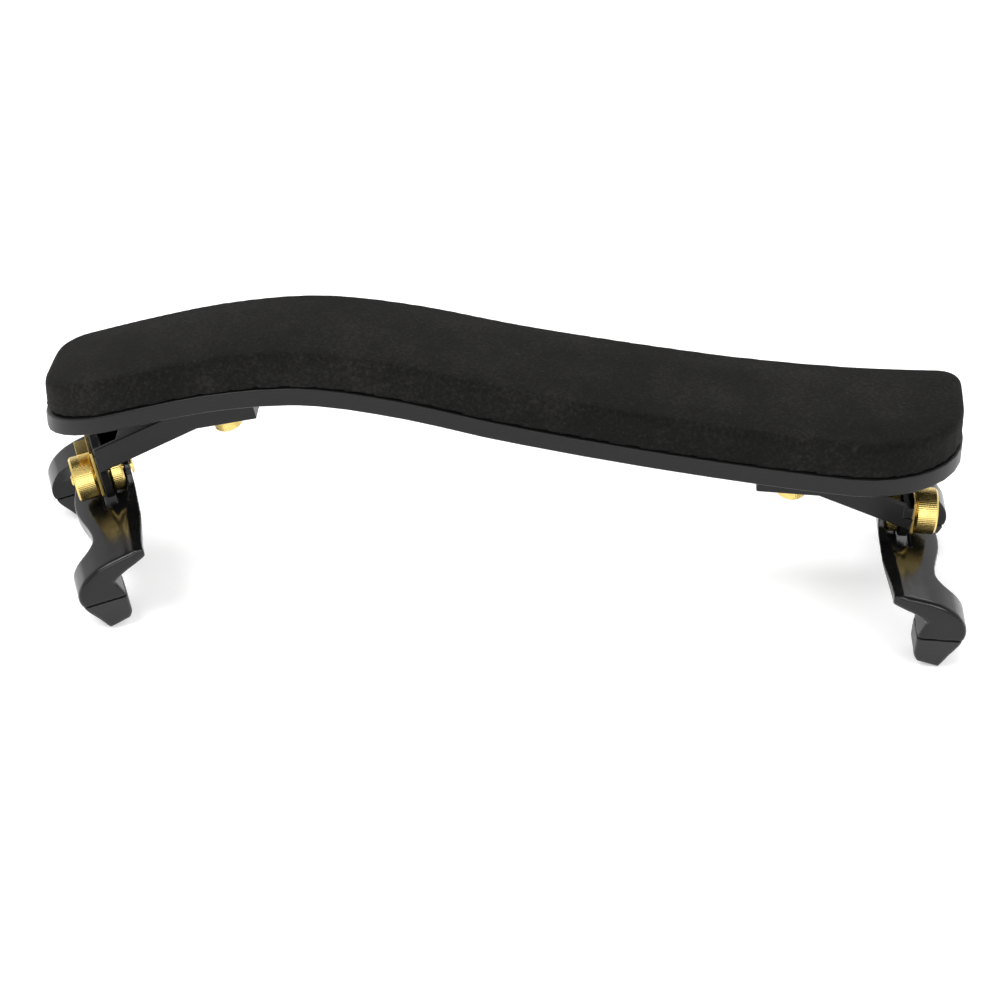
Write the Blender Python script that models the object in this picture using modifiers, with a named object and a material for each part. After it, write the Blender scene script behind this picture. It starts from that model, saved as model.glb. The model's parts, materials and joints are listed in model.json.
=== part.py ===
"""Violin shoulder rest: a waved base with a foam pad, two drooping arms and two forked legs.

X runs along the rest, Y across it and Z up. The four rubber soles stand on Z = 0, and the origin is
under the middle of the whole box. Each side has two frames of its own, with local x pointing outward
from the middle of the rest: the arm frame, on the clamp screw's axis, and the stud frame, on the axis
of the stud that carries the thumb wheel, the lock nut and the leg.
"""

from math import atan, cos, pi, radians, sin, tan

import bmesh
import bpy
from mathutils import Matrix, Vector

MM = 0.001
GAP = 0.3 * MM  # clearance between touching pieces

# Base and pad
BASE_LENGTH = 250 * MM
BASE_THICKNESS = 5.3 * MM
SKIN = 2.1 * MM  # top skin over the hollow underside
RIM_WALL = 2.4 * MM
RIB = 1.6 * MM
CROSS_RIBS = 7
STATIONS = 32  # cuts along the length that let the plate follow its wave
PAD_INSET = 0.5 * MM
PAD_THICKNESS = 9.9 * MM
PAD_EDGE = 1.8 * MM  # rounding of the pad's edges

# Underside of the base above the floor, and half its width, at stations along X
WAVE = [(-125, 45.5), (-100, 53.6), (-75, 60.4), (-50, 63.7), (-25, 61.7), (0, 57.2), (30, 52.7),
        (62, 49.0), (95, 46.7), (125, 46.6)]
HALF_WIDTH = [(-125, 17.9), (-60, 17.5), (0, 19.2), (60, 20.3), (125, 22.9)]
PLATE_SHIFT = 0.75 * MM  # the plate and pad sit this much further back than the screws
# Plan corners, as half-axes along X and Y: end of the rest (-1 left, 1 right) and edge (-1 front, 1 back)
CORNER = {(-1, -1): (24 * MM, 16 * MM), (-1, 1): (9 * MM, 8 * MM), (1, -1): (30 * MM, 26 * MM),
          (1, 1): (7 * MM, 7 * MM)}

# Clamp joint between base and arm: c is measured down from the base's underside along the screw
BOSS_RADIUS = 8 * MM
BOSS_DROP = 1.2 * MM
INSERT_RADIUS = 3.1 * MM
INSERT_LENGTH = 3.8 * MM
SCREW_RADIUS = 1.5 * MM
SCREW_HEAD_RADIUS = 3.9 * MM
SCREW_HEAD_HEIGHT = 4.0 * MM
WASHER_RADIUS = 4.2 * MM
WASHER_THICKNESS = 0.8 * MM
LENGTH_TRAVEL = 4 * MM  # the arm slides this far each way past its screw

# Arm
ARM_WIDTH = 18 * MM
ARM_WALL = 1.7 * MM
FOOT_TOP = -1.7 * MM
FOOT_BOTTOM = -8.6 * MM
FOOT_INNER = -10.5 * MM
FOOT_OUTER = 6.5 * MM
DROOP = {"left": radians(15.5), "right": radians(18.5)}
ROOF = 3 * MM

# Stud frame: faces of the stacked pieces along local x, from the leg outward
LUG = (-7.3 * MM, -5.5 * MM)
NUT = (-5.2 * MM, -1.5 * MM)
TONGUE = (-1.2 * MM, 1.2 * MM)
PLATE = (1.5 * MM, 2.3 * MM)
WHEEL = (2.6 * MM, 8.6 * MM)
STUD_RADIUS = 1.5 * MM
STUD_END = 9.3 * MM
BORE = STUD_RADIUS + GAP
NUT_RADIUS = 6.2 * MM
WHEEL_RADIUS = 6.4 * MM
TEETH = 44
TONGUE_HALF = 7.4 * MM
PLATE_HALF = 5.8 * MM
BUSH = (4.2 * MM, 5.0 * MM)  # width and height of the guide bush
SLOT_HALF = BUSH[0] / 2 + GAP

# Leg: profile in the stud frame, (x, z) in millimetres, and where its corners are sharp
LEG_HALF = 33.75 * MM
CLAW_WIDTH = 11 * MM
LEG_PROFILE = [(-5.5, 7.0), (-5.5, -0.5), (-4.6, -3.6), (-2.2, -5.9), (1.4, -6.8), (6.9, -8.0),
               (11.0, -9.7), (14.6, -12.7), (16.3, -16.4), (15.6, -20.0), (12.6, -24.8), (10.4, -28.4),
               (4.3, -26.9), (3.4, -25.4), (3.4, -19.4), (5.4, -14.2), (1.9, -12.0), (-2.0, -10.2),
               (-5.2, -8.2), (-6.8, -5.2), (-7.3, -1.0), (-7.3, 7.0)]
LEG_CORNERS = (0, 11, 12, 13, 14, 15, 21)
# Front edge of the leg seen along the stud, (y, z) in millimetres, from the lug out to the claw
LEG_SHOULDER = [(5.0, 0.0), (6.4, -2.4), (9.6, -4.4), (15.5, -5.6), (24.0, -6.0), (33.75, -6.2)]
LUG_RADIUS = 5 * MM
RECESS_X = 8.2 * MM
SHELF_BULGE = 2.6 * MM  # the shelf's outer edge swells by this much in the middle
LEG_ROUNDING = 1.3 * MM  # of the leg's moulded edges at both ends
SWEEP = 3.0 * MM  # the leg's inner side runs outward by this much towards each claw
SCOOP_RADIUS = 6.9 * MM
TONGUE_SCOOP_RADIUS = 7.9 * MM
RUBBER_TOP = -19.2 * MM
# Peg that the rubber sleeve is pushed onto, (x, z) in millimetres
PEG = [(13.2, -18.0), (12.4, -21.0), (10.3, -24.4), (8.0, -25.5), (6.2, -24.6), (5.6, -21.0), (5.8, -18.0)]
PEG_HALF = 3.7 * MM

# Per side: turn about Z, the clamp screw's distance from the middle, the stud's place outward, along Y
# and up, the yaw of the leg, the droop of the stud, and how far the leg can slide up its slot
SIDES = {
    "left": (pi, 77.7 * MM, (110.8 * MM, -1.5 * MM, 29.9 * MM), radians(21), radians(10), 2 * MM),
    "right": (0.0, 80.7 * MM, (111.0 * MM, 2.0 * MM, 29.0 * MM), radians(2.8), radians(3), 2 * MM),
}

for leftover in list(bpy.data.objects):
    bpy.data.objects.remove(leftover, do_unlink=True)

parts = bpy.data.collections.new("violin_shoulder_rest")
cutters = bpy.data.collections.new("cutters")
for collection in (parts, cutters):
    bpy.context.scene.collection.children.link(collection)
cutters.hide_render = True


# ---------------------------------------------------------------- materials
def material(name, colour, roughness, metallic):
    made = bpy.data.materials.new(name)
    made.use_nodes = True
    shader = made.node_tree.nodes["Principled BSDF"]
    shader.inputs["Base Color"].default_value = (*colour, 1)
    shader.inputs["Roughness"].default_value = roughness
    shader.inputs["Metallic"].default_value = metallic
    made.diffuse_color = (*colour, 1)
    return made


SATIN_PLASTIC = material("satin_black_plastic", (0.022, 0.022, 0.024), 0.42, 0.0)
GLOSS_PLASTIC = material("gloss_black_plastic", (0.012, 0.012, 0.013), 0.16, 0.0)
FOAM = material("charcoal_foam", (0.020, 0.018, 0.018), 0.95, 0.0)
BRASS = material("brass", (0.78, 0.58, 0.22), 0.28, 1.0)
RUBBER = material("black_rubber", (0.018, 0.018, 0.019), 0.75, 0.0)


# ---------------------------------------------------------------- helpers
def smooth_value(table, at):
    """Value in millimetres of a smooth curve through a table of (station, value) points."""
    slopes = []
    for i in range(len(table)):
        before, after = table[max(i - 1, 0)], table[min(i + 1, len(table) - 1)]
        slopes.append((after[1] - before[1]) / (after[0] - before[0]))
    at = min(max(at, table[0][0]), table[-1][0])
    i = max(k for k in range(len(table) - 1) if table[k][0] <= at)
    (x0, y0), (x1, y1) = table[i], table[i + 1]
    span = x1 - x0
    t = (at - x0) / span
    return ((2 * t**3 - 3 * t**2 + 1) * y0 + (t**3 - 2 * t**2 + t) * span * slopes[i]
            + (3 * t**2 - 2 * t**3) * y1 + (t**3 - t**2) * span * slopes[i + 1])


def underside(x):
    return smooth_value(WAVE, x / MM) * MM


def half_width(x):
    return smooth_value(HALF_WIDTH, x / MM) * MM


def new_object(name, mesh, surface, collection=parts):
    made = bpy.data.objects.new(name, mesh)
    collection.objects.link(made)
    mesh.materials.clear()
    if surface:
        mesh.materials.append(surface)
    if collection is cutters:
        made.hide_render = True
        made.display_type = "WIRE"
    return made


def from_bmesh(name, work, surface, collection=parts):
    bmesh.ops.recalc_face_normals(work, faces=work.faces)
    mesh = bpy.data.meshes.new(name)
    work.to_mesh(mesh)
    work.free()
    return new_object(name, mesh, surface, collection)


def outline_solid(name, points, low, high, surface=None, collection=cutters, corners=None,
                  turn=Matrix(), resolution=4, rounding=0.0):
    """A flat outline given a thickness from low to high along its normal.

    With corners, the outline is smooth except at the points that corners lists.
    """
    curve = bpy.data.curves.new(name, "CURVE")
    curve.dimensions = "2D"
    curve.fill_mode = "BOTH"
    curve.extrude = (high - low) / 2 - rounding
    curve.bevel_depth = rounding
    curve.bevel_resolution = 2
    curve.offset = -rounding
    curve.resolution_u = resolution
    if corners is None:
        spline = curve.splines.new("POLY")
        spline.points.add(len(points) - 1)
        for point, place in zip(spline.points, points):
            point.co = (*place, 0, 1)
    else:
        spline = curve.splines.new("BEZIER")
        spline.bezier_points.add(len(points) - 1)
        for i, (point, place) in enumerate(zip(spline.bezier_points, points)):
            point.co = (*place, 0)
            kind = "VECTOR" if i in corners else "AUTO"
            point.handle_left_type = point.handle_right_type = kind
    spline.use_cyclic_u = True
    holder = bpy.data.objects.new(name + "_outline", curve)
    cutters.objects.link(holder)
    bpy.context.view_layer.update()
    graph = bpy.context.evaluated_depsgraph_get()
    mesh = bpy.data.meshes.new_from_object(holder.evaluated_get(graph))
    bpy.data.objects.remove(holder)
    work = bmesh.new()
    work.from_mesh(mesh)
    bpy.data.meshes.remove(mesh)
    bmesh.ops.remove_doubles(work, verts=work.verts, dist=1e-6)
    bmesh.ops.translate(work, verts=work.verts, vec=(0, 0, (low + high) / 2))
    bmesh.ops.transform(work, matrix=turn, verts=work.verts)
    return from_bmesh(name, work, surface, collection)


# Turns an outline drawn in (x, z) so that its thickness runs along Y, and one drawn in (y, z) along X
XZ_PLANE = Matrix(((1, 0, 0, 0), (0, 0, 1, 0), (0, 1, 0, 0), (0, 0, 0, 1)))
YZ_PLANE = Matrix(((0, 0, 1, 0), (1, 0, 0, 0), (0, 1, 0, 0), (0, 0, 0, 1)))


def box(name, low, high, surface=None, collection=cutters):
    work = bmesh.new()
    bmesh.ops.create_cube(work, size=1)
    size = Vector(high) - Vector(low)
    bmesh.ops.scale(work, verts=work.verts, vec=size)
    bmesh.ops.translate(work, verts=work.verts, vec=(Vector(high) + Vector(low)) / 2)
    return from_bmesh(name, work, surface, collection)


def rod(name, radius, low, high, along="X", sides=32, surface=None, collection=cutters):
    """A cylinder about a local axis, from low to high along it."""
    work = bmesh.new()
    bmesh.ops.create_cone(work, cap_ends=True, segments=sides, radius1=radius, radius2=radius,
                          depth=high - low)
    bmesh.ops.translate(work, verts=work.verts, vec=(0, 0, (low + high) / 2))
    if along == "X":
        bmesh.ops.rotate(work, verts=work.verts, matrix=Matrix.Rotation(pi / 2, 3, "Y"))
    return from_bmesh(name, work, surface, collection)


def turned(name, profile, surface, steps=32, along="X"):
    """A solid of revolution: profile holds (radius, distance along the axis), top to bottom."""
    work = bmesh.new()
    points = [work.verts.new((radius, 0, along_axis)) for radius, along_axis in profile]
    for first, second in zip(points, points[1:]):
        work.edges.new((first, second))
    mesh = bpy.data.meshes.new(name)
    work.to_mesh(mesh)
    work.free()
    made = new_object(name, mesh, surface)
    screw = made.modifiers.new("turn", "SCREW")
    screw.steps = screw.render_steps = steps
    screw.use_merge_vertices = True
    screw.merge_threshold = 1e-6
    if along == "X":
        mesh.transform(Matrix.Rotation(pi / 2, 4, "Y"))
        screw.axis = "X"
    return made


def knurled(name, radius, bore, low, high, chamfer, surface, along="X", teeth=TEETH):
    """A straight-knurled disc with a bore and chamfered rims, about a local axis."""
    depth = 0.2 * MM
    rings = [(low, radius - chamfer), (low + chamfer, radius), (high - chamfer, radius),
             (high, radius - chamfer)]
    work = bmesh.new()
    loops = []
    for height, reach in rings:
        ring = []
        for i in range(2 * teeth):
            angle = pi * i / teeth
            out = reach - (depth if i % 2 else 0) * (reach == radius)
            ring.append(work.verts.new((out * cos(angle), out * sin(angle), height)))
        loops.append(ring)
    for lower, upper in zip(loops, loops[1:]):
        for i in range(2 * teeth):
            j = (i + 1) % (2 * teeth)
            work.faces.new((lower[i], lower[j], upper[j], upper[i]))
    work.faces.new(loops[0])
    work.faces.new(loops[-1])
    if along == "X":
        bmesh.ops.rotate(work, verts=work.verts, matrix=Matrix.Rotation(pi / 2, 3, "Y"))
    made = from_bmesh(name, work, surface)
    if bore:
        cut(made, rod(name + "_bore", bore, low - 1 * MM, high + 1 * MM, along, 24))
    return made


def modify(target, other, operation):
    change = target.modifiers.new(other.name, "BOOLEAN")
    change.operation = operation
    change.solver = "EXACT"
    change.object = other
    other.parent = target.parent
    return target


def cut(target, *others):
    for other in others:
        modify(target, other, "DIFFERENCE")
    return target


def join(target, *others):
    for other in others:
        modify(target, other, "UNION")
    return target


def realise(target):
    """Replaces the object's mesh with its evaluated one, so that it can be bent."""
    bpy.context.view_layer.update()
    graph = bpy.context.evaluated_depsgraph_get()
    mesh = bpy.data.meshes.new_from_object(target.evaluated_get(graph))
    target.modifiers.clear()
    target.data = mesh
    return target


def shade(target, angle=35):
    target.data.shade_smooth()
    target.data.set_sharp_from_angle(angle=radians(angle))


def empty(name, parent, matrix):
    made = bpy.data.objects.new(name, None)
    made.empty_display_size = 8 * MM
    parts.objects.link(made)
    made.parent = parent
    made.matrix_local = matrix
    return made


def place(parent, *objects):
    """Parents pieces, and any cutter that shapes them, to the empty on their axis."""
    for piece in objects:
        piece.parent = parent
        for change in piece.modifiers:
            if change.type == "BOOLEAN":
                place(parent, change.object)


root = empty("shoulder_rest", None, Matrix())


# ---------------------------------------------------------------- base and pad
def plan_outline(inset):
    """Outline of the plate seen from above, drawn in by inset, as a closed list of (x, y)."""
    outline = []
    for end, edge in ((-1, -1), (1, -1), (1, 1), (-1, 1)):
        long, wide = (axis - inset for axis in CORNER[end, edge])
        tip = end * (BASE_LENGTH / 2 - inset)
        centre_x = tip - end * long
        # The straight runs between corners follow the plate's changing width
        sweep = [radians(90 * k / 8) for k in range(9)]
        corner = []
        for angle in sweep:
            x = centre_x + end * long * sin(angle)
            side = half_width(x) - inset - wide + wide * cos(angle)
            corner.append((x, edge * side + PLATE_SHIFT))
        if (end, edge) in ((-1, -1), (1, 1)):
            corner.reverse()
        outline += corner
        if (end, edge) in ((-1, -1), (1, 1)):
            start = outline[-1][0]
            other = -end
            stop = other * (BASE_LENGTH / 2 - inset) - other * (CORNER[other, edge][0] - inset)
            for k in range(1, STATIONS // 2):
                x = start + (stop - start) * k / (STATIONS // 2)
                outline.append((x, edge * (half_width(x) - inset) + PLATE_SHIFT))
    return outline


def follow_wave(target):
    """Cuts the flat piece across at every station and lifts it onto the base's wave."""
    work = bmesh.new()
    work.from_mesh(target.data)
    bmesh.ops.remove_doubles(work, verts=work.verts, dist=0.01 * MM)
    bmesh.ops.dissolve_limit(work, angle_limit=radians(0.4), verts=work.verts, edges=work.edges)
    for k in range(1, STATIONS):
        x = BASE_LENGTH * (k / STATIONS - 0.5)
        everything = work.verts[:] + work.edges[:] + work.faces[:]
        bmesh.ops.bisect_plane(work, geom=everything, plane_co=(x, 0, 0), plane_no=(1, 0, 0), dist=1e-7)
    for vertex in work.verts:
        vertex.co.z += underside(vertex.co.x)
    bmesh.ops.triangulate(work, faces=work.faces)
    work.to_mesh(target.data)
    work.free()
    return target


def make_base():
    base = outline_solid("base_plate", plan_outline(0), 0, BASE_THICKNESS, SATIN_PLASTIC, parts)
    hollow = outline_solid("base_hollow", plan_outline(RIM_WALL), -2 * MM, BASE_THICKNESS - SKIN)
    pitch = BASE_LENGTH / (CROSS_RIBS + 1)
    high = BASE_THICKNESS
    for k in range(CROSS_RIBS):
        x = (k + 1) * pitch - BASE_LENGTH / 2
        cut(hollow, box(f"cross_rib_{k}", (x - RIB / 2, -0.04, -0.004), (x + RIB / 2, 0.04, high)))
    cut(hollow, box("long_rib", (-0.2, -RIB / 2, -0.0045), (0.2, RIB / 2, high + 0.0005)))
    stands = []
    for side, (turn, screw_x, *_) in SIDES.items():
        x = screw_x * cos(turn)
        boss = rod(side + "_boss_keep", BOSS_RADIUS + 0.4 * MM, -0.005, high + 0.001, "Z", 36)
        boss.location.x = x
        cut(hollow, boss)
        stand = rod(side + "_boss", BOSS_RADIUS, -BOSS_DROP, BASE_THICKNESS - SKIN / 2, "Z", 36)
        stand.location.x = x
        stands.append(stand)
    cut(base, hollow)
    join(base, *stands)
    follow_wave(realise(base))
    return base


def make_pad():
    low = BASE_THICKNESS + GAP
    pad = outline_solid("foam_pad", plan_outline(PAD_INSET), low, low + PAD_THICKNESS, FOAM, parts,
                        rounding=PAD_EDGE)
    return follow_wave(pad)


base_plate = make_base()
foam_pad = make_pad()


# ---------------------------------------------------------------- clamp joint and arm
def make_clamp(side, frame):
    """Threaded insert in the base's boss, and the knurled screw and washer that clamp the arm."""
    bottom = -BOSS_DROP
    pocket = rod(side + "_insert_pocket", INSERT_RADIUS + GAP, bottom - 4 * MM,
                 bottom + INSERT_LENGTH + 2 * GAP, "Z")
    insert = rod(side + "_threaded_insert", INSERT_RADIUS, bottom + 0.2 * MM, bottom + INSERT_LENGTH,
                 "Z", 24, BRASS, parts)
    cut(insert, rod(side + "_insert_bore", SCREW_RADIUS + GAP, -0.01, 0.01, "Z", 24))
    washer_top = FOOT_BOTTOM - GAP
    head_top = washer_top - WASHER_THICKNESS - GAP
    washer = rod(side + "_clamp_washer", WASHER_RADIUS, washer_top - WASHER_THICKNESS, washer_top,
                 "Z", 32, BRASS, parts)
    cut(washer, rod(side + "_washer_bore", SCREW_RADIUS + GAP, -0.02, 0.0, "Z", 24))
    screw = knurled(side + "_clamp_screw", SCREW_HEAD_RADIUS, 0, head_top - SCREW_HEAD_HEIGHT, head_top,
                    0.4 * MM, BRASS, "Z", 26)
    shank = rod(side + "_screw_shank", SCREW_RADIUS, head_top - 1 * MM, bottom + INSERT_LENGTH - 0.6 * MM,
                "Z", 24)
    join(screw, shank)
    place(frame, pocket, insert, washer, screw)
    cut(base_plate, pocket)
    pocket.parent = frame


def make_arm(side, arm_frame, stud_frame, reach, rise, travel):
    """Drooping channel with a slotted foot at its inner end and the slotted tongue at its outer end."""
    over = 8 * MM
    fall = (reach + over - FOOT_OUTER) * tan(DROOP[side])
    profile = [(FOOT_INNER, FOOT_TOP), (FOOT_OUTER, FOOT_TOP), (reach + over, FOOT_TOP - fall),
               (reach + over, FOOT_BOTTOM - fall - 0.4 * MM), (FOOT_OUTER, FOOT_BOTTOM),
               (FOOT_INNER, FOOT_BOTTOM)]
    arm = outline_solid(side + "_arm", profile, -ARM_WIDTH / 2, ARM_WIDTH / 2, SATIN_PLASTIC, parts,
                        turn=XZ_PLANE)
    slot = outline_solid(side + "_foot_slot", stadium(LENGTH_TRAVEL, SCREW_RADIUS + GAP), -0.02, 0.02)
    inside = ARM_WIDTH / 2 - ARM_WALL
    start = FOOT_OUTER + 5 * MM
    drop = (start - FOOT_OUTER) * tan(DROOP[side])
    low = -40 * MM
    channel = outline_solid(
        side + "_arm_channel",
        [(start, FOOT_TOP - ROOF - drop), (reach + over + 1 * MM, FOOT_TOP - ROOF - fall),
         (reach + over + 1 * MM, low), (start, low)],
        -inside, inside, turn=XZ_PLANE)
    window = box(side + "_nut_window", (reach - 8.8 * MM, -inside + 0.1 * MM, low),
                 (reach + over + 2 * MM, inside - 0.1 * MM, 0))
    place(arm_frame, arm, slot, channel, window)
    # Everything past the tongue's outer face is cut away square to the stud
    end = box(side + "_arm_end", (TONGUE[1] - 0.2 * MM, -0.04, -0.06), (0.05, 0.04, 0.06))
    tongue = outline_solid(side + "_tongue", tongue_outline(rise), *TONGUE, turn=YZ_PLANE)
    slide = outline_solid(side + "_tongue_slot", slot_outline(travel), -0.02, 0.02, turn=YZ_PLANE)
    place(stud_frame, end, tongue, slide)
    for piece, change in ((slot, cut), (channel, cut), (window, cut), (end, cut), (tongue, join),
                          (slide, cut)):
        parent = piece.parent
        change(arm, piece)
        piece.parent = parent
    return arm


def stadium(half_length, radius, steps=10):
    """Slot outline along x with round ends."""
    points = []
    for sign in (1, -1):
        for k in range(steps + 1):
            angle = sign * pi / 2 - pi * k / steps
            points.append((sign * half_length + radius * cos(angle), radius * sin(angle)))
    return points


def tongue_outline(rise):
    """Round-bottomed tongue that flares to the arm's full width, as (y, z) about the stud's axis."""
    flare = ARM_WIDTH / 2 + 0.2 * MM
    points = [(TONGUE_HALF * cos(angle), TONGUE_HALF * sin(angle))
              for angle in (-pi * k / 16 for k in range(17))]
    shoulder = min(1.5 * MM, rise - 6 * MM)
    points += [(-TONGUE_HALF, shoulder), (-flare, shoulder + 3 * MM), (-flare, rise), (flare, rise),
               (flare, shoulder + 3 * MM), (TONGUE_HALF, shoulder)]
    return points


def slot_outline(travel):
    """Slot for the guide bush, as (y, z), from its lowest place to its highest."""
    low, high = -BUSH[1] / 2 - GAP, travel + BUSH[1] / 2 + GAP
    corner = 0.3 * MM
    return [(sy * (SLOT_HALF - cy * corner), z + sz * cz * corner)
            for z, sz, sy, cy, cz in (
                (low, 1, -1, 0, 1), (low, 1, -1, 1, 0), (low, 1, 1, 1, 0), (low, 1, 1, 0, 1),
                (high, -1, 1, 0, 1), (high, -1, 1, 1, 0), (high, -1, -1, 1, 0), (high, -1, -1, 0, 1))]


def make_slot_parts(side, frame, rise, travel):
    """Brass wear plate on the tongue's outer face, and the bush that the stud turns in."""
    half = PLATE_HALF
    low, high = -5.6 * MM, rise - 0.6 * MM
    corner = 1.6 * MM
    outline = [(half, low + corner), (half - corner, low), (corner - half, low), (-half, low + corner),
               (-half, high), (half, high)]
    plate = outline_solid(side + "_slot_plate", outline, *PLATE, BRASS, parts, turn=YZ_PLANE)
    if high > 10 * MM:
        join(plate, box(side + "_plate_lip", (PLATE[0] + 0.2 * MM, -3.6 * MM, high - 1.6 * MM),
                        (PLATE[1] + 3.4 * MM, 3.6 * MM, high - 0.6 * MM)))
    cut(plate, outline_solid(side + "_plate_slot", slot_outline(travel), -0.02, 0.02, turn=YZ_PLANE))
    bush = box(side + "_guide_bush", (TONGUE[0], -BUSH[0] / 2, -BUSH[1] / 2),
               (PLATE[1], BUSH[0] / 2, BUSH[1] / 2), BRASS, parts)
    cut(bush, rod(side + "_bush_bore", BORE, -0.01, 0.01))
    place(frame, plate, bush)


# ---------------------------------------------------------------- stud, nut and thumb wheel
def make_turning_parts(side, frame):
    head = 0.8 * MM
    inner = LUG[0] - GAP
    stud = turned(side + "_stud",
                  [(0, STUD_END), (STUD_RADIUS - 0.4 * MM, STUD_END), (STUD_RADIUS, STUD_END - 0.4 * MM),
                   (STUD_RADIUS, inner), (2.8 * MM, inner), (2.8 * MM, inner - head / 2),
                   (2.2 * MM, inner - head), (0, inner - head)], BRASS, 24)
    shade(stud)
    nut = knurled(side + "_lock_nut", NUT_RADIUS, BORE, *NUT, 0.5 * MM, BRASS)
    wheel = knurled(side + "_thumb_wheel", WHEEL_RADIUS, BORE, *WHEEL, 0.6 * MM, BRASS)
    place(frame, stud, nut, wheel)


# ---------------------------------------------------------------- leg
def in_metres(points):
    return [(a * MM, b * MM) for a, b in points]


def face_outline():
    """Front view of the leg along the stud: round lug, sloping shoulders and full-width claws."""
    lug = [(LUG_RADIUS * cos(angle), LUG_RADIUS * sin(angle)) for angle in (pi * k / 12 for k in range(13))]
    shoulder = in_metres(LEG_SHOULDER)
    low = -32 * MM
    right = shoulder[1:] + [(LEG_HALF, low)]
    left = [(-y, z) for y, z in right]
    return lug[::-1] + right + left[::-1]


def moulding(name, surface):
    """The leg's section across its full width, with rounded ends: legs and rubber sleeves start from it."""
    return outline_solid(name, in_metres(LEG_PROFILE), -LEG_HALF, LEG_HALF, surface, parts,
                         corners=LEG_CORNERS, turn=XZ_PLANE, rounding=LEG_ROUNDING)


def make_leg(side, frame):
    """Fork moulded in one: an S-shaped section across the full width, cut back between two claws."""
    leg = moulding(side + "_leg_fork", GLOSS_PLASTIC)
    face = outline_solid(side + "_leg_face", face_outline(), -0.03, 0.03, turn=YZ_PLANE)
    modify(leg, face, "INTERSECT")
    gap_half = LEG_HALF - CLAW_WIDTH
    recess = outline_solid(side + "_leg_recess", recess_outline(gap_half), -0.05, 0.02)
    pocket = box(side + "_leg_pocket", (TONGUE[0] - GAP, -TONGUE_HALF - GAP, -7.7 * MM - SIDES[side][5]),
                 (PLATE[1] + GAP, TONGUE_HALF + GAP, 0))
    sweeps = [outline_solid(f"{side}_leg_sweep_{end}", sweep_outline(end), -0.05, 0.02) for end in (-1, 1)]
    under = box(side + "_leg_under", (-0.01, -gap_half, -0.05), (0.03, gap_half, -13.4 * MM))
    scoop = rod(side + "_leg_scoop", SCOOP_RADIUS, LUG[1], RECESS_X + 6 * MM, sides=48)
    deep = rod(side + "_leg_tongue_scoop", TONGUE_SCOOP_RADIUS, TONGUE[0] - GAP, PLATE[1] + GAP, sides=48)
    bore = rod(side + "_lug_bore", BORE, -0.012, 0.0, sides=24)
    cut(leg, recess, under, *sweeps, scoop, deep, pocket, bore)
    place(frame, leg)
    for name, centre in (("front", -1), ("rear", 1)):
        middle = centre * (LEG_HALF - CLAW_WIDTH / 2) * cos(SIDES[side][0])
        make_claw_end(side, name, middle, leg, frame)


def recess_outline(gap_half):
    """Gap between the claws seen from above, with round inner corners."""
    radius = 5 * MM
    points = [(0.04, -gap_half)]
    for sign in (-1, 1):
        arc = []
        for k in range(7):
            angle = pi / 2 * k / 6
            arc.append((RECESS_X + radius - radius * sin(angle),
                        sign * (gap_half - radius + radius * cos(angle))))
        points += arc if sign < 0 else arc[::-1]
        if sign < 0:
            reach = gap_half - radius
            for k in range(1, 12):
                y = reach * (k / 6 - 1)
                points.append((RECESS_X + SHELF_BULGE * (1 + cos(pi * y / reach)) / 2, y))
    return points + [(0.04, gap_half)]


def sweep_outline(end):
    """What is cut from the leg's inner side on one half, seen from above."""
    start = 7 * MM
    points = [(-0.02, end * start)]
    for k in range(9):
        y = start + (LEG_HALF + 1 * MM - start) * k / 8
        points.append((LUG[0] - 0.1 * MM + (SWEEP + 0.1 * MM) * (1 - cos(pi * k / 8)) / 2, end * y))
    return points + [(-0.02, end * (LEG_HALF + 1 * MM))]


def make_claw_end(side, name, middle, leg, frame):
    """Cuts the claw back to a peg and makes the rubber sleeve that is pushed onto it."""
    half = CLAW_WIDTH / 2
    prefix = f"{side}_{name}_claw"
    gone = box(prefix + "_gone", (0, middle - half - 1 * MM, -0.04), (0.03, middle + half + 1 * MM, RUBBER_TOP))
    peg = outline_solid(prefix + "_peg", in_metres(PEG), middle - PEG_HALF, middle + PEG_HALF,
                        corners=(0, 6), turn=XZ_PLANE)
    pocket = outline_solid(prefix + "_pocket", in_metres(PEG), middle - PEG_HALF, middle + PEG_HALF,
                           corners=(0, 6), turn=XZ_PLANE)
    grow(pocket, GAP)
    cut(leg, gone)
    join(leg, peg)
    sleeve = moulding(f"{side}_{name}_rubber_sleeve", RUBBER)
    out = 1 * MM * middle / abs(middle)  # the sleeve's outer end keeps the moulding's rounding
    end = box(prefix + "_end", (-0.02, middle - half + min(out, 0), -0.05),
              (0.03, middle + half + max(out, 0), RUBBER_TOP - GAP))
    modify(sleeve, end, "INTERSECT")
    cut(sleeve, pocket)
    place(frame, gone, peg, sleeve)


def grow(target, amount):
    """Moves every face of a cutter outward, so that the pocket clears the peg all round."""
    work = bmesh.new()
    work.from_mesh(target.data)
    work.normal_update()
    moves = [vertex.normal * vertex.calc_shell_factor() * amount for vertex in work.verts]
    for vertex, move in zip(work.verts, moves):
        vertex.co += move
    work.to_mesh(target.data)
    work.free()


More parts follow.
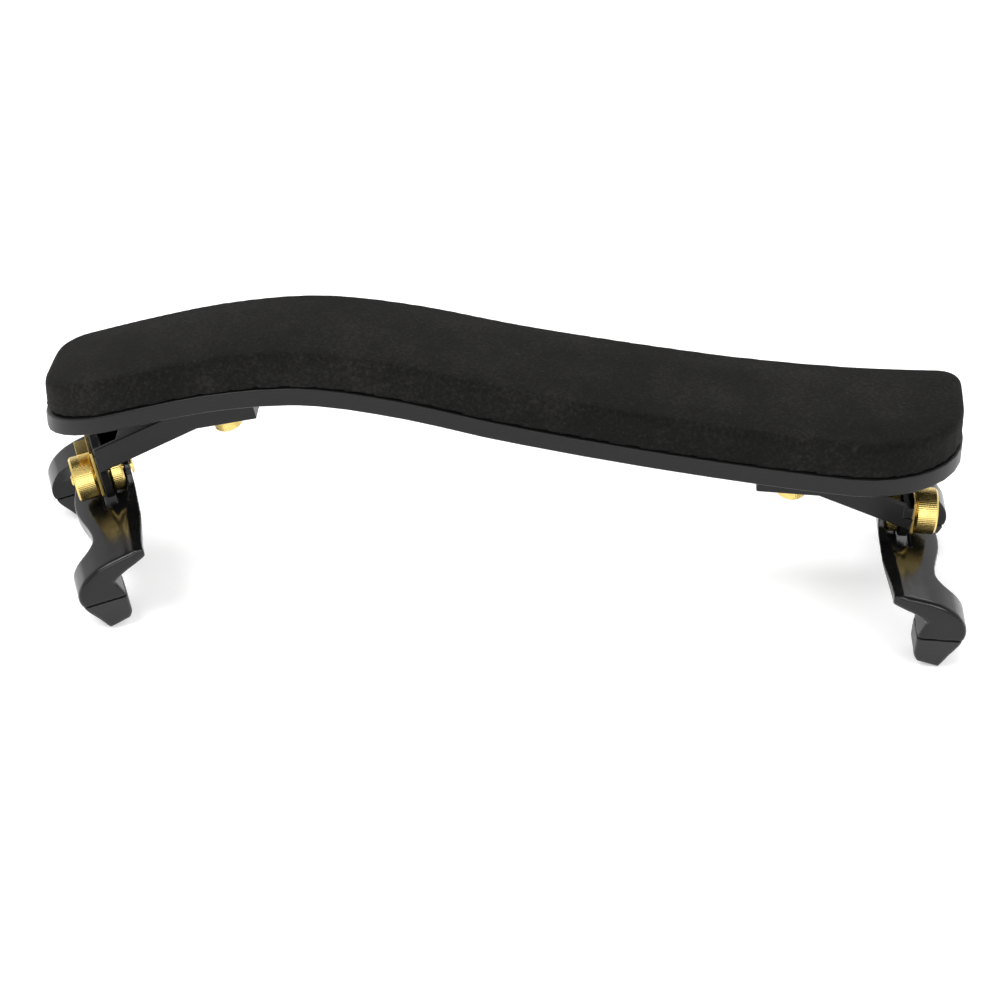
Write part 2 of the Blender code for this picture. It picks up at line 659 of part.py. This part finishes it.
# ---------------------------------------------------------------- assembly
def build_side(side):
    turn, screw_x, (stud_x, stud_y, stud_z), yaw, tilt, travel = SIDES[side]
    outward = cos(turn)
    step = 1 * MM
    slope = atan((underside(outward * (screw_x - step)) - underside(outward * (screw_x + step))) / (2 * step))
    facing = Matrix.Rotation(turn, 4, "Z")
    aim = atan(outward * stud_y / (stud_x - screw_x))  # the arm is swivelled to point at its stud
    clamp_axis = (Matrix.Translation((outward * screw_x, 0, underside(outward * screw_x)))
                  @ facing @ Matrix.Rotation(slope, 4, "Y") @ Matrix.Rotation(aim, 4, "Z"))
    stud_axis = (Matrix.Translation((outward * stud_x, stud_y, stud_z)) @ facing
                 @ Matrix.Rotation(yaw, 4, "Z") @ Matrix.Rotation(tilt, 4, "Y"))
    arm_frame = empty(side + "_clamp_axis", root, clamp_axis)
    stud_frame = empty(side + "_stud_axis", root, stud_axis)
    seen = clamp_axis.inverted() @ stud_axis.translation
    reach = seen.x
    rise = FOOT_TOP - (reach - FOOT_OUTER) * tan(DROOP[side]) - seen.z - 0.3 * MM
    make_clamp(side, arm_frame)
    make_arm(side, arm_frame, stud_frame, reach, rise, travel)
    make_slot_parts(side, stud_frame, rise, travel)
    make_turning_parts(side, stud_frame)
    make_leg(side, stud_frame)


for name in SIDES:
    build_side(name)
place(root, base_plate, foam_pad)
for change in base_plate.modifiers:
    change.object.parent = bpy.data.objects[change.object.name.split("_")[0] + "_clamp_axis"]


def centre_on_origin():
    """Moves the whole rest so that its soles stand on the floor, under the middle of its box."""
    bpy.context.view_layer.update()
    graph = bpy.context.evaluated_depsgraph_get()
    low, high = Vector((1e9, 1e9, 1e9)), Vector((-1e9, -1e9, -1e9))
    for piece in parts.objects:
        if piece.type != "MESH":
            continue
        seen = piece.evaluated_get(graph)
        for vertex in seen.data.vertices:
            point = seen.matrix_world @ vertex.co
            low = Vector(map(min, low, point))
            high = Vector(map(max, high, point))
    root.location = (-(low.x + high.x) / 2, -(low.y + high.y) / 2, -low.z)


centre_on_origin()
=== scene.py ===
"""Looks of the violin shoulder rest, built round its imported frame.

The foam pad is rebuilt as a soft crowned piece with a suede-like surface, and the six knurled brass pieces
are turned again with a finer knurl. The other CAD pieces keep their own meshes, and modifiers soften the
edges of the moulded and stamped ones. Every piece has a procedural material: napped foam, satin or glossy
plastic, brass, or rubber.
"""

import bisect
import json
import math

import bmesh
import bpy
from mathutils import Matrix, Vector, noise
from mathutils.kdtree import KDTree


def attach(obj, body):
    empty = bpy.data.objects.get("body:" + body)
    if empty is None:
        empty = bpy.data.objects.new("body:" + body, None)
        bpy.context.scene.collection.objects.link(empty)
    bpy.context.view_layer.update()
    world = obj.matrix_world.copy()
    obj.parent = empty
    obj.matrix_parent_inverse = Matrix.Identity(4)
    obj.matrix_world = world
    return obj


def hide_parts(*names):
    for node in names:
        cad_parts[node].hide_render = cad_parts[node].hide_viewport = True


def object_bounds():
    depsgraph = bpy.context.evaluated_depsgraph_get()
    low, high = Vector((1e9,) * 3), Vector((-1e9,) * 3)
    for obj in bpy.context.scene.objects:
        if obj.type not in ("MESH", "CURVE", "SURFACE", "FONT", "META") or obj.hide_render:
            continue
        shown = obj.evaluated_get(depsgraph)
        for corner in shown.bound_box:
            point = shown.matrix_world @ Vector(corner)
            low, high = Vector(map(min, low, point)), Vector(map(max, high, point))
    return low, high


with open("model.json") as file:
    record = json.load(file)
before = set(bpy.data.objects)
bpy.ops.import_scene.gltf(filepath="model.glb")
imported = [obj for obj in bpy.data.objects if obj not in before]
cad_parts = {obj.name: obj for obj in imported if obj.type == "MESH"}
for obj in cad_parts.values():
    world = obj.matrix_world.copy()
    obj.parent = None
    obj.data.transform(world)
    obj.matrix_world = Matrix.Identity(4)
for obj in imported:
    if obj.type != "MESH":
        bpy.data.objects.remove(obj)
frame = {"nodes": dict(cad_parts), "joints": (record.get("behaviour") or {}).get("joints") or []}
CAD_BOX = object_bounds()

MM = 0.001
WELD_DISTANCE = 0.01 * MM
SMOOTHING_FACTOR = 0.5  # how far each pass moves a corner towards the middle of its neighbours
NOISE_RANGE = (0.3, 0.7)  # the middle range of a noise texture's values

# Foam pad
PAD_VOXEL = 0.75 * MM
PAD_SOFTENING = 4  # smoothing passes that round the moulded edges
PAD_FOOT = 3 * MM  # height over which the smoothing fades towards the bonded edge
PAD_CROWN = 0.7 * MM  # how far the middle of the pad stands above its edge
PAD_SHOULDER = 7 * MM  # distance over which the crown rises
PAD_UNEVENNESS = 0.22 * MM
PAD_UNEVEN_SIZE = 34 * MM
PAD_EDGE_WAVER = 0.12 * MM
PAD_WAVER_SIZE = 12 * MM
PAD_SEATING = 0.15 * MM  # the bonded face sits this much closer to the plate than its CAD solid
PAD_SQUARING = 0.8  # share of the CAD solid's lower rounding that is filled out
CAD_ROUNDING = 1.8 * MM  # of the edges of the pad's CAD solid

# How upright a face's normal is: its Z component, or for SIDEWAYS its length in plan
FACES_DOWN = -0.9
OUTLINE_TILT = 0.35
SIDE_TILT = 0.5
SIDEWAYS = 0.25

# Fine knurling on the brass pieces
TOOTH_PITCH = 0.56 * MM
TOOTH_DEPTH = 0.06 * MM
STEPS_PER_TOOTH = 4
CHAMFER = 0.55 * MM
LAND = 0.5 * MM  # flat ring between a disc's chamfer and the dish in its face
DISH_DEPTH = 0.35 * MM
HUB = 1.0 * MM  # width of the flat ring round a disc's bore
SCREW_TIP = 0.4 * MM
HEAD_SHARE = 0.7  # corners further out than this share of the radius belong to the knurled head
HEAD_MARGIN = 0.1 * MM  # corners further than this beyond the head belong to the shank

# Width of the small radius that moulding or stamping leaves along a piece's edges, by ending of its name
EDGE_RADII = {"base_plate": 0.5 * MM, "arm": 0.4 * MM, "slot_plate": 0.12 * MM, "clamp_washer": 0.1 * MM}
EDGE_STEPS = 3
FLAT_ANGLE = math.radians(0.5)  # faces closer to flat than this are one face
SHARP_ANGLE = math.radians(32)

# Pieces that are remeshed finely and smoothed, which rounds every edge as a polished mould does
MOULDED = ("leg_fork", "rubber_sleeve")
MOULDED_VOXEL = 0.32 * MM
MOULDED_SOFTENING = 6

TURNED_TONE, TURNED_ROUGHNESS = (0.78, 0.585, 0.195), 0.22
PRESSED_TONE, PRESSED_ROUGHNESS = (0.76, 0.55, 0.18), 0.28
TARNISH = 0.78  # brightness of tarnished brass against clean

# Camera, in the row frame
CAMERA_PLACE = Vector((0.0619, -0.6049, 0.4211))
CAMERA_TARGET = Vector((0.0056, -0.0205, 0.0399))
CAMERA_LENS_MM = 94.25

# Studio: each light's name, place, size and power in watts, all aimed at the middle of the object
LIGHTS = (
    ("key", (-0.55, -0.45, 1.0), (0.6, 0.4), 6.0),
    ("fill", (0.8, -0.7, 0.7), (0.5, 0.4), 3.5),
    ("front", (0.1, -0.9, 0.4), (0.8, 0.3), 2.5),
    ("overhead", (0.0, 0.15, 0.9), (0.6, 0.2), 2.5),
    ("back", (0.2, 0.9, 0.7), (1.0, 0.3), 2.0),
)
SKY_LEVEL = 0.35  # overhead; the studio is white only near its horizon
SKY_FADE = (0.30, 0.80)  # heights between which the sky fades from white to that level
FLOOR_HALF = 6.0
FLOOR_GLOW = 0.28  # the floor is a lit table, which keeps it white under the object


# ---------------------------------------------------------------- node helpers
class Nodes:
    """A material's node tree, with short ways to add and join nodes."""

    def __init__(self, name):
        self.material = bpy.data.materials.new(name)
        self.material.use_nodes = True
        self.tree = self.material.node_tree
        self.shader = self.tree.nodes["Principled BSDF"]

    def add(self, kind, **values):
        """Adds a shader node and sets its sockets or its own settings by name."""
        node = self.tree.nodes.new("ShaderNode" + kind)
        for key, value in values.items():
            if key in node.inputs:
                node.inputs[key].default_value = value
            else:
                setattr(node, key, value)
        return node

    def link(self, out, into):
        self.tree.links.new(out, into)

    def feed(self, socket, out):
        """Links a node's output to one of the shader's sockets."""
        self.link(out, self.shader.inputs[socket])

    def set(self, **values):
        """Sets the shader's own sockets, with _ for the spaces in their names."""
        for key, value in values.items():
            self.shader.inputs[key.replace("_", " ")].default_value = value

    def place(self):
        """Object coordinates, in metres, so that a grain has a real size."""
        return self.add("TexCoord").outputs["Object"]

    def noise(self, scale, detail, roughness, stretch=(1, 1, 1)):
        """Noise with about this many features to the metre."""
        mapping = self.add("Mapping")
        mapping.inputs["Scale"].default_value = stretch
        self.link(self.place(), mapping.inputs["Vector"])
        texture = self.add("TexNoise", Scale=scale, Detail=detail, Roughness=roughness)
        self.link(mapping.outputs["Vector"], texture.inputs["Vector"])
        return texture.outputs["Fac"]

    def ramp(self, fac, *stops):
        """Colour ramp through (position, colour) stops."""
        node = self.add("ValToRGB")
        elements = node.color_ramp.elements
        while len(elements) < len(stops):
            elements.new(0.5)
        for element, (place, colour) in zip(elements, stops):
            element.position = place
            element.color = (*colour, 1)
        self.link(fac, node.inputs["Fac"])
        return node.outputs["Color"]

    def mix(self, first, second, share):
        """First and second mixed, with this share of the second."""
        node = self.add("Mix", data_type="FLOAT")
        node.inputs["Factor"].default_value = share
        self.link(first, node.inputs["A"])
        self.link(second, node.inputs["B"])
        return node.outputs["Result"]

    def spread(self, fac, low, high):
        """Maps noise's middle range to low..high."""
        node = self.add("MapRange")
        node.inputs["From Min"].default_value = NOISE_RANGE[0]
        node.inputs["From Max"].default_value = NOISE_RANGE[1]
        node.inputs["To Min"].default_value = low
        node.inputs["To Max"].default_value = high
        self.link(fac, node.inputs["Value"])
        return node.outputs["Result"]

    def bump(self, height, strength, distance, below=None):
        """Normal with this height on it, over another normal if one is given."""
        node = self.add("Bump", Strength=strength, Distance=distance)
        self.link(height, node.inputs["Height"])
        if below:
            self.link(below, node.inputs["Normal"])
        return node.outputs["Normal"]


def grey(value, warm=0.0):
    return (value * (1 + warm), value, value * (1 - warm))


# ---------------------------------------------------------------- materials
def suede_foam():
    """Charcoal foam with a fine napped skin: mottled, speckled and slightly fuzzy at grazing angles."""
    made = Nodes("suede_foam")
    patches = made.noise(45, 3, 0.6)
    nap = made.noise(1000, 6, 0.75)
    stops = ((0.38, grey(0.0030, 0.05)), (0.50, grey(0.0062, 0.04)), (0.62, grey(0.0150, 0.04)))
    made.feed("Base Color", made.ramp(made.mix(nap, patches, 0.3), *stops))
    made.feed("Roughness", made.spread(nap, 0.80, 0.97))
    grain = made.bump(nap, 0.6, 0.30 * MM)
    pores = made.add("TexVoronoi", Scale=1500.0)
    made.link(made.place(), pores.inputs["Vector"])
    made.feed("Normal", made.bump(pores.outputs["Distance"], 0.3, 0.15 * MM, grain))
    made.set(Sheen_Weight=0.03, Sheen_Roughness=0.5, Sheen_Tint=(0.80, 0.77, 0.74, 1))
    made.set(Specular_IOR_Level=0.08)
    return made.material


def satin_plastic():
    """Moulded black plastic with a fine spark-eroded grain and faint flow marks along its length."""
    made = Nodes("satin_black_plastic")
    flow = made.noise(45, 3, 0.5, (0.15, 1, 1))
    grain = made.noise(2600, 3, 0.6)
    made.feed("Base Color", made.ramp(flow, (0.3, grey(0.0040)), (0.7, grey(0.0065))))
    made.feed("Roughness", made.spread(flow, 0.30, 0.42))
    made.feed("Normal", made.bump(grain, 0.12, 0.04 * MM))
    made.set(Specular_IOR_Level=0.26)
    return made.material


def gloss_plastic():
    """Glossy black moulding with the slight waviness and handling haze of a polished tool."""
    made = Nodes("gloss_black_plastic")
    haze = made.noise(120, 5, 0.6)
    waves = made.noise(170, 2, 0.4)
    made.feed("Base Color", made.ramp(haze, (0.3, grey(0.0025)), (0.7, grey(0.0045))))
    made.feed("Roughness", made.spread(haze, 0.10, 0.24))
    made.feed("Normal", made.bump(waves, 0.20, 0.10 * MM))
    made.set(Specular_IOR_Level=0.33)
    return made.material


def brass(name, tone, roughness):
    """Brass with fine tool rings about the object's own Z axis, and a little tarnish in patches."""
    made = Nodes(name)
    rings = made.add("TexWave", wave_type="RINGS", rings_direction="Z", Scale=380.0)
    made.link(made.place(), rings.inputs["Vector"])
    tarnish = made.noise(300, 4, 0.6)
    dull = tuple(part * TARNISH for part in tone)
    made.feed("Base Color", made.ramp(tarnish, (0.34, dull), (0.56, tone)))
    made.feed("Roughness", made.spread(tarnish, roughness + 0.10, roughness - 0.03))
    made.feed("Normal", made.bump(rings.outputs["Fac"], 0.06, 0.03 * MM))
    made.set(Metallic=1.0)
    return made.material


def rubber():
    """Black rubber with a fine skin texture and a faint dusty bloom."""
    made = Nodes("black_rubber")
    bloom = made.noise(150, 4, 0.6)
    skin = made.noise(1500, 3, 0.6)
    made.feed("Base Color", made.ramp(bloom, (0.3, grey(0.0060)), (0.7, grey(0.0120))))
    made.feed("Roughness", made.spread(bloom, 0.30, 0.44))
    made.feed("Normal", made.bump(skin, 0.15, 0.06 * MM))
    made.set(Specular_IOR_Level=0.38)
    return made.material


def dress_nodes(turned):
    """Gives every CAD node its material; turned is the brass of the round pieces."""
    satin, gloss, sole = satin_plastic(), gloss_plastic(), rubber()
    pressed = brass("pressed_brass", PRESSED_TONE, PRESSED_ROUGHNESS)
    by_ending = {"rubber_sleeve": sole, "leg_fork": gloss, "base_plate": satin, "_arm": satin,
                 "slot_plate": pressed, "washer": pressed}
    for node, target in frame["nodes"].items():
        surface = next((made for ending, made in by_ending.items() if node.endswith(ending)), turned)
        target.data.materials.clear()
        target.data.materials.append(surface)


# ---------------------------------------------------------------- softened edges
def smooth_by_angle():
    """Node group that shades a mesh smooth and keeps its sharper edges crisp."""
    group = bpy.data.node_groups.new("smooth_by_angle", "GeometryNodeTree")
    group.interface.new_socket("Geometry", in_out="INPUT", socket_type="NodeSocketGeometry")
    group.interface.new_socket("Geometry", in_out="OUTPUT", socket_type="NodeSocketGeometry")
    nodes, links = group.nodes, group.links
    start, end = nodes.new("NodeGroupInput"), nodes.new("NodeGroupOutput")
    faces, edges = nodes.new("GeometryNodeSetShadeSmooth"), nodes.new("GeometryNodeSetShadeSmooth")
    angle, sharper = nodes.new("GeometryNodeInputMeshEdgeAngle"), nodes.new("FunctionNodeCompare")
    edges.domain = "EDGE"
    edges.inputs["Shade Smooth"].default_value = False
    sharper.operation = "GREATER_THAN"
    sharper.inputs["B"].default_value = SHARP_ANGLE
    links.new(start.outputs[0], faces.inputs["Geometry"])
    links.new(faces.outputs["Geometry"], edges.inputs["Geometry"])
    links.new(angle.outputs["Unsigned Angle"], sharper.inputs["A"])
    links.new(sharper.outputs["Result"], edges.inputs["Selection"])
    links.new(edges.outputs["Geometry"], end.inputs[0])
    return group


def weld(target):
    target.modifiers.new("weld", "WELD").merge_threshold = WELD_DISTANCE


def round_edges(target, width, smoothing):
    """Rounds a piece's sharp edges a little, and keeps its broad faces flat."""
    weld(target)
    flats = target.modifiers.new("flats", "DECIMATE")
    flats.decimate_type = "DISSOLVE"
    flats.angle_limit = FLAT_ANGLE
    edges = target.modifiers.new("edges", "BEVEL")
    edges.use_clamp_overlap = False
    edges.width = width
    edges.segments = EDGE_STEPS
    edges.limit_method = "ANGLE"
    edges.angle_limit = SHARP_ANGLE
    target.modifiers.new("smoothing", "NODES").node_group = smoothing
    target.modifiers.new("flat_faces", "WEIGHTED_NORMAL").keep_sharp = True


def mould(target):
    """Gives a piece the flowing rounded edges of a glossy moulding."""
    weld(target)
    remesh = add_remesh(target, MOULDED_VOXEL)
    remesh.use_smooth_shade = True
    add_smoothing(target, MOULDED_SOFTENING)


def add_remesh(target, voxel):
    remesh = target.modifiers.new("remesh", "REMESH")
    remesh.mode = "VOXEL"
    remesh.voxel_size = voxel
    return remesh


def add_smoothing(target, passes):
    smooth = target.modifiers.new("soften", "SMOOTH")
    smooth.factor = SMOOTHING_FACTOR
    smooth.iterations = passes
    return smooth


def soften_nodes():
    smoothing = smooth_by_angle()
    for node, target in frame["nodes"].items():
        if node.endswith(MOULDED):
            mould(target)
        for ending, radius in EDGE_RADII.items():
            if node.endswith(ending):
                round_edges(target, radius, smoothing)


def object_from(work, name):
    """New object in the scene, made from a bmesh, which is freed."""
    mesh = bpy.data.meshes.new(name)
    work.to_mesh(mesh)
    work.free()
    made = bpy.data.objects.new(name, mesh)
    bpy.context.scene.collection.objects.link(made)
    return made


# ---------------------------------------------------------------- knurled brass
def axial_places(node, centre, axis):
    """How far along and how far out from an axis each of a node's corners lies."""
    places = []
    for vertex in frame["nodes"][node].data.vertices:
        offset = vertex.co - centre
        along = offset.dot(axis)
        places.append((along, (offset - axis * along).length))
    return places


def disc_profile(low, high, radius, bore):
    """(along, out) round a bored disc with chamfered rims and slightly dished faces."""
    face = radius - CHAMFER
    land, well = face - LAND, bore + HUB
    floor_low, floor_high = low + DISH_DEPTH, high - DISH_DEPTH
    return [(low, bore), (low, well), (floor_low, well + DISH_DEPTH), (floor_low, land - DISH_DEPTH),
            (low, land), (low, face), (low + CHAMFER, radius), (high - CHAMFER, radius), (high, face),
            (high, land), (floor_high, land - DISH_DEPTH), (floor_high, well + DISH_DEPTH), (high, well),
            (high, bore)]


def screw_profile(low, high, radius, shank, end):
    """(along, out) of a solid screw: a chamfered head from low to high and a shank up to end."""
    face = radius - CHAMFER
    return [(low, 0), (low, face), (low + CHAMFER, radius), (high - CHAMFER, radius), (high, face),
            (high, shank), (end - SCREW_TIP, shank), (end, shank - SCREW_TIP), (end, 0)]


def ring_of(work, along, out, teeth, steps, toothed):
    """One ring of a turned piece, cut into teeth on the knurl. On the axis it is a single shared point."""
    if out == 0:
        return [work.verts.new((0, 0, along))] * steps
    ring = []
    for step in range(steps):
        angle = 2 * math.pi * step / steps
        radius = out - TOOTH_DEPTH * (0.5 - 0.5 * math.cos(teeth * angle)) if toothed else out
        ring.append(work.verts.new((radius * math.cos(angle), radius * math.sin(angle), along)))
    return ring


def turn(name, profile, radius, closed, surface):
    """Turns a profile about Z, with a fine straight knurl wherever it reaches the full radius."""
    teeth = round(2 * math.pi * radius / TOOTH_PITCH)
    steps = teeth * STEPS_PER_TOOTH
    work = bmesh.new()
    rings = [ring_of(work, along, out, teeth, steps, out == radius) for along, out in profile]
    pairs = list(zip(rings, rings[1:]))
    if closed:
        pairs.append((rings[-1], rings[0]))
    for lower, upper in pairs:
        for step in range(steps):
            after = (step + 1) % steps
            work.faces.new(dict.fromkeys((lower[step], lower[after], upper[after], upper[step])))
    bmesh.ops.recalc_face_normals(work, faces=work.faces)
    made = object_from(work, name)
    made.data.shade_smooth()
    made.data.set_sharp_from_angle(angle=SHARP_ANGLE)
    made.data.materials.append(surface)
    return made


def knurl(node, joint, surface):
    """Stands a finely knurled piece in for a turned CAD node, on that node's own joint axis."""
    centre, axis = Vector(joint["pos_m"]), Vector(joint["axis"]).normalized()
    places = axial_places(node, centre, axis)
    radius = max(out for along, out in places)
    head = [along for along, out in places if out > HEAD_SHARE * radius]
    low, high = min(head), max(head)
    solid = node.endswith("screw")
    if solid:
        end = max(along for along, out in places)
        shank = max(out for along, out in places if along > high + HEAD_MARGIN)
        profile = screw_profile(low, high, radius, shank, end)
    else:
        bore = min(out for along, out in places)
        profile = disc_profile(low, high, radius, bore)
    made = turn(node + "_knurled", profile, radius, not solid, surface)
    made.matrix_world = Matrix.Translation(centre) @ axis.to_track_quat("Z", "Y").to_matrix().to_4x4()
    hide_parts(node)
    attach(made, joint["child"])


# ---------------------------------------------------------------- foam pad
def welded_copy(node, name):
    work = bmesh.new()
    work.from_mesh(frame["nodes"][node].data)
    bmesh.ops.remove_doubles(work, verts=work.verts, dist=WELD_DISTANCE)
    return object_from(work, name)


def apply_modifiers(target):
    bpy.context.view_layer.update()
    graph = bpy.context.evaluated_depsgraph_get()
    mesh = bpy.data.meshes.new_from_object(target.evaluated_get(graph))
    target.modifiers.clear()
    target.data = mesh


def outline_tree(mesh):
    """Points on the pad's upright sides, for measuring how far inside its outline a place is."""
    places = [vertex.co for vertex in mesh.vertices if abs(vertex.normal.z) < OUTLINE_TILT]
    tree = KDTree(len(places))
    for index, place in enumerate(places):
        tree.insert((place.x, place.y, 0), index)
    tree.balance()
    return tree


class Underside:
    """Height of the pad's bonded face, read between the stations of its CAD solid."""

    def __init__(self, mesh):
        down = [vertex.co for vertex in mesh.vertices if vertex.normal.z < FACES_DOWN]
        self.stations = sorted({(round(place.x, 6), round(place.z, 6)) for place in down})

    def at(self, x):
        after = bisect.bisect_left(self.stations, (x, 0))
        x0, z0 = self.stations[max(after - 1, 0)]
        x1, z1 = self.stations[min(after, len(self.stations) - 1)]
        return z0 + (z1 - z0) * (x - x0) / (x1 - x0) if x1 > x0 else z0


def soften_pad(pad, underside):
    """Smooths the pad, less and less towards its bonded edge."""
    upper = pad.vertex_groups.new(name="upper")
    for vertex in pad.data.vertices:
        rise = vertex.co.z - underside.at(vertex.co.x)
        upper.add([vertex.index], min(max(rise / PAD_FOOT, 0.0), 1.0), "REPLACE")
    add_smoothing(pad, PAD_SOFTENING).vertex_group = upper.name
    apply_modifiers(pad)


def shape_pad(pad, underside, outline):
    """Crowns the pad, fills out its lower edge where it is bonded down, and makes it slightly uneven."""
    normals = [vertex.normal.copy() for vertex in pad.data.vertices]
    for vertex, normal in zip(pad.data.vertices, normals):
        inside = outline.find((vertex.co.x, vertex.co.y, 0))[2]
        rise = PAD_CROWN * (1 - math.exp(-((inside / PAD_SHOULDER) ** 2)))
        uneven = noise.noise(vertex.co / PAD_UNEVEN_SIZE) * PAD_UNEVENNESS
        vertex.co.z += max(normal.z, 0.0) * (rise + uneven)
        height = vertex.co.z - underside.at(vertex.co.x)
        sideways = Vector((normal.x, normal.y, 0))
        if height < CAD_ROUNDING and sideways.length > SIDEWAYS:
            drop = CAD_ROUNDING - max(height, 0)
            missing = CAD_ROUNDING - math.sqrt(CAD_ROUNDING**2 - drop**2)
            vertex.co += sideways.normalized() * missing * PAD_SQUARING
        elif normal.z < FACES_DOWN:
            vertex.co.z -= PAD_SEATING
        if abs(normal.z) < SIDE_TILT:
            vertex.co += normal * noise.noise(vertex.co / PAD_WAVER_SIZE) * PAD_EDGE_WAVER


def make_pad():
    """The pad remeshed finely, with soft edges, a low crown and the slight unevenness of foam."""
    pad = welded_copy("foam_pad", "suede_foam_pad")
    underside = Underside(frame["nodes"]["foam_pad"].data)
    add_remesh(pad, PAD_VOXEL)
    apply_modifiers(pad)
    outline = outline_tree(pad.data)
    soften_pad(pad, underside)
    shape_pad(pad, underside, outline)
    pad.data.shade_smooth()
    pad.data.materials.clear()
    pad.data.materials.append(suede_foam())
    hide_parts("foam_pad")
    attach(pad, "base")


# ---------------------------------------------------------------- floor, light and camera
def make_floor():
    work = bmesh.new()
    bmesh.ops.create_grid(work, x_segments=1, y_segments=1, size=FLOOR_HALF)
    floor = object_from(work, "floor")
    made = Nodes("pale_floor")
    made.set(Base_Color=(0.93, 0.93, 0.93, 1), Roughness=0.9, Specular_IOR_Level=0.1)
    made.set(Emission_Color=(1, 1, 1, 1), Emission_Strength=FLOOR_GLOW)
    floor.data.materials.append(made.material)


def make_light(name, place, size, power):
    data = bpy.data.lights.new(name, "AREA")
    data.shape = "RECTANGLE"
    data.size, data.size_y = size
    data.energy = power
    light = bpy.data.objects.new(name, data)
    aim_from(light, Vector(place), (CAD_BOX[0] + CAD_BOX[1]) / 2)


def make_world():
    world = bpy.data.worlds.new("studio")
    world.use_nodes = True
    nodes, links = world.node_tree.nodes, world.node_tree.links
    split, fade = nodes.new("ShaderNodeSeparateXYZ"), nodes.new("ShaderNodeValToRGB")
    links.new(nodes.new("ShaderNodeTexCoord").outputs["Generated"], split.inputs[0])
    links.new(split.outputs["Z"], fade.inputs["Fac"])
    links.new(fade.outputs["Color"], nodes["Background"].inputs["Color"])
    for stop, height, level in zip(fade.color_ramp.elements, SKY_FADE, (1.0, SKY_LEVEL)):
        stop.position = height
        stop.color = (level, level, level, 1)
    bpy.context.scene.world = world


def make_camera():
    data = bpy.data.cameras.new("camera")
    data.lens = CAMERA_LENS_MM
    data.clip_start = 0.01
    camera = bpy.data.objects.new("camera", data)
    aim_from(camera, CAMERA_PLACE, CAMERA_TARGET)
    bpy.context.scene.camera = camera


def aim_from(target, place, point):
    """Puts a light or camera in the scene at place, looking at point."""
    target.location = place
    target.rotation_euler = (point - place).to_track_quat("-Z", "Y").to_euler()
    bpy.context.scene.collection.objects.link(target)


TURNED_BRASS = brass("turned_brass", TURNED_TONE, TURNED_ROUGHNESS)
dress_nodes(TURNED_BRASS)
soften_nodes()
for joint in frame["joints"]:
    if joint["name"].endswith("_spin"):
        knurl(joint["name"].removesuffix("_spin"), joint, TURNED_BRASS)
make_pad()

make_floor()
make_world()
for light in LIGHTS:
    make_light(*light)
make_camera()
bpy.context.scene.view_settings.view_transform = "Standard"
